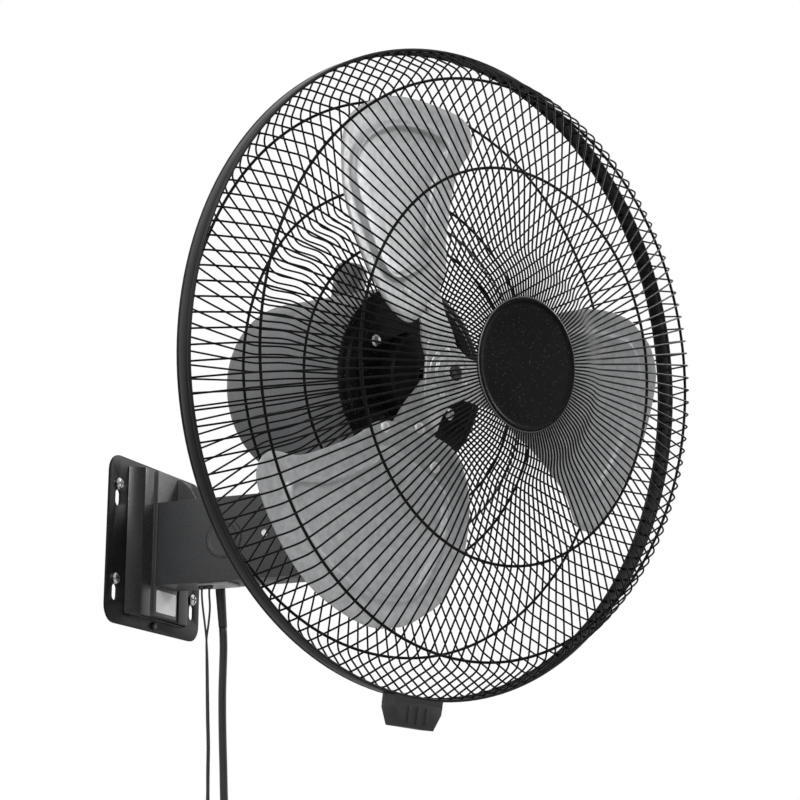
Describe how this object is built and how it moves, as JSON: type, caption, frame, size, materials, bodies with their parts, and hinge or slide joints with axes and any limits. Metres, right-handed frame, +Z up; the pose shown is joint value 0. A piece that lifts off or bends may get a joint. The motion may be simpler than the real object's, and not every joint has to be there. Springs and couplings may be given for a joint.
{
  "type": "wall fan",
  "caption": "Wall mounted fan: wall plate and box arm, tilting and swinging motor head, wire guard, pressed metal blades, pull-cord switches and a mains lead.",
  "frame": {"origin": "centre of the wall plate's back face, on the wall", "axes": "+Z up, the fan stands out from the wall towards -Y, +X to the right when facing the wall"},
  "size_m": [0.4742, 0.4569, 0.7598],
  "materials": {
    "plate_gloss": "gloss black enamel",
    "arm_paint": "satin dark grey powder coat",
    "guard_paint": "satin black powder coat",
    "cap_gloss": "gloss black",
    "blade_metal": "matte pressed sheet",
    "zinc": "bright zinc plate",
    "steel": "turned steel",
    "cast_alloy": "die cast",
    "laminate": "varnished laminations",
    "black_plastic": "moulded black",
    "white_plastic": "moulded white",
    "panel_grey": "light grey moulded",
    "lead_jacket": "satin black flexible lead",
    "pin_brass": "bright"
  },
  "bodies": {
    "wall_bracket": {"wall_plate": "plate_gloss", "plate_screw_1": "zinc", "plate_screw_2": "zinc", "plate_screw_3": "zinc", "plate_screw_4": "zinc", "bracket_channel": "plate_gloss", "arm_slide": "arm_paint", "locking_screw": "zinc", "arm_housing": "arm_paint", "arm_side_cap": "arm_paint", "arm_side_screw": "zinc", "arm_bottom_cover": "panel_grey", "run_capacitor": "black_plastic", "terminal_block": "white_plastic", "pull_switch_speed": "black_plastic", "pull_switch_swing": "black_plastic", "cord_bushing_speed": "black_plastic", "cord_bushing_swing": "black_plastic", "tilt_bolt": "steel", "tilt_nut": "steel", "strain_relief": "black_plastic", "power_cord": "lead_jacket", "power_cord_coil": "lead_jacket", "cord_tie": "black_plastic", "plug_body": "black_plastic", "plug_pin_left": "pin_brass", "plug_pin_right": "pin_brass"},
    "neck": {"neck_bracket": "arm_paint"},
    "head": {"gear_housing": "cast_alloy", "swing_motor": "zinc", "motor_cover": "arm_paint", "motor_front_bell": "plate_gloss", "motor_rear_bell": "cast_alloy", "stator": "laminate", "front_bearing": "steel", "rear_bearing": "steel", "rear_guard": "guard_paint", "guard_screw_1": "zinc", "guard_screw_2": "zinc", "guard_screw_3": "zinc", "guard_screw_4": "zinc", "guard_rim_band": "guard_paint", "front_guard": "guard_paint", "guard_cap": "cap_gloss", "guard_clip": "black_plastic", "clip_screw": "zinc"},
    "rotor": {"rotor_core": "laminate", "motor_shaft": "steel", "blade_hub": "blade_metal", "hub_nut": "zinc", "blade_1": "blade_metal", "blade_2": "blade_metal", "blade_3": "blade_metal"},
    "pull_speed": {"pull_cord_speed": "lead_jacket", "pull_knob_speed": "black_plastic"},
    "pull_swing": {"pull_cord_swing": "lead_jacket", "pull_knob_swing": "black_plastic"}
  },
  "joints": [
    {"name": "tilt", "type": "hinge", "parent": "wall_bracket", "child": "neck", "pos_m": [0, -0.12935, 0.02028], "axis": [1, 0, 0], "range_deg": [-13, 27]},
    {"name": "swing", "type": "hinge", "parent": "neck", "child": "head", "pos_m": [0, -0.12935, 0.02028], "axis": [0, -0.1364, 0.9907], "range_deg": [-20.3, 69.7]},
    {"name": "blade_spin", "type": "hinge", "parent": "head", "child": "rotor", "pos_m": [-0.07876, -0.31406, 0.10588], "axis": [-0.4177, -0.9001, -0.1239], "continuous": true},
    {"name": "speed_pull", "type": "slide", "parent": "wall_bracket", "child": "pull_speed", "axis": [0, 0, -1], "range_m": [0, 0.012], "stiffness_N_per_m": 900},
    {"name": "swing_pull", "type": "slide", "parent": "wall_bracket", "child": "pull_swing", "axis": [0, 0, -1], "range_m": [0, 0.012], "stiffness_N_per_m": 900}
  ]
}
